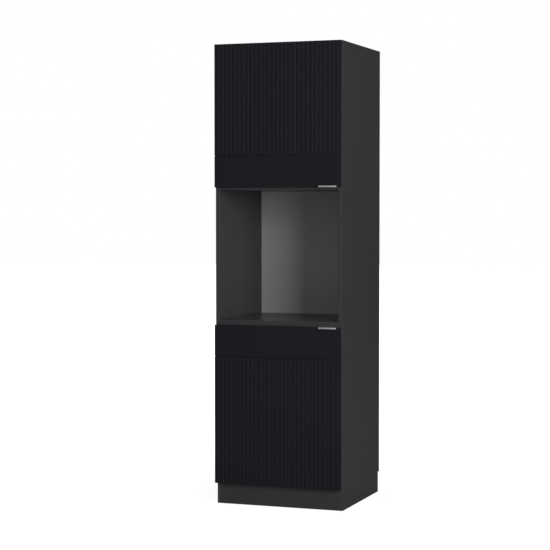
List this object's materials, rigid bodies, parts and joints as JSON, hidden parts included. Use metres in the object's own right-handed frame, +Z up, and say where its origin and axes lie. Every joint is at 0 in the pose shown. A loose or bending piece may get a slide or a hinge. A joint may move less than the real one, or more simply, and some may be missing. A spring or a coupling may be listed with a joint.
{
  "type": "oven housing cabinet",
  "caption": "Tall fitted kitchen cabinet with an open oven niche between an upper and a lower fluted door, left hinged with edge pulls, on a set-back plinth.",
  "frame": {"origin": "on the floor, at the middle of the overall width and of the overall depth with the handles", "axes": "+Z up, +X to the right seen from the front, +Y towards the wall; the doors face -Y"},
  "size_m": [0.6, 0.614, 2.085],
  "materials": {
    "carcass_laminate": "matte anthracite melamine-faced board",
    "door_front": "matte blue-black wrapped front board",
    "back_board": "grey lacquered thin fibreboard",
    "handle_metal": "satin anodised aluminium",
    "hinge_steel": "nickel-plated pressed steel",
    "screw_steel": "zinc-plated steel",
    "cam_metal": "die-cast zinc alloy",
    "dowel_beech": "plain beech",
    "bumper_pad": "soft clear-grey pad"
  },
  "bodies": {
    "carcass": {"side_panel_left": "carcass_laminate", "side_panel_right": "carcass_laminate", "top_panel": "carcass_laminate", "niche_ceiling_panel": "carcass_laminate", "oven_shelf": "carcass_laminate", "base_panel": "carcass_laminate", "upper_shelf": "carcass_laminate", "lower_shelf": "carcass_laminate", "plinth_board": "carcass_laminate", "wall_rail": "carcass_laminate", "upper_back_panel": "back_board", "niche_back_panel": "back_board", "lower_back_panel": "back_board", "wood_dowels": "dowel_beech", "cam_bolts": "screw_steel", "cam_locks": "cam_metal", "shelf_pins": "screw_steel", "back_screws": "screw_steel", "hinge_plates": "hinge_steel", "hinge_plate_screws": "screw_steel", "hinge_arms": "hinge_steel", "hinge_arm_screws": "screw_steel"},
    "upper_door": {"upper_door": "door_front", "upper_handle": "handle_metal", "upper_handle_screws": "screw_steel", "upper_door_bumpers": "bumper_pad", "upper_hinge_cups": "hinge_steel", "upper_hinge_pins": "screw_steel", "upper_cup_screws": "screw_steel"},
    "lower_door": {"lower_door": "door_front", "lower_handle": "handle_metal", "lower_handle_screws": "screw_steel", "lower_door_bumpers": "bumper_pad", "lower_hinge_cups": "hinge_steel", "lower_hinge_pins": "screw_steel", "lower_cup_screws": "screw_steel"}
  },
  "joints": [
    {"name": "upper_door_swing", "type": "hinge", "parent": "carcass", "child": "upper_door", "pos_m": [-0.2915, -0.286, 1.7615], "axis": [0, 0, -1], "range_deg": [0, 94]},
    {"name": "lower_door_swing", "type": "hinge", "parent": "carcass", "child": "lower_door", "pos_m": [-0.2915, -0.286, 0.45825], "axis": [0, 0, -1], "range_deg": [0, 94]}
  ]
}
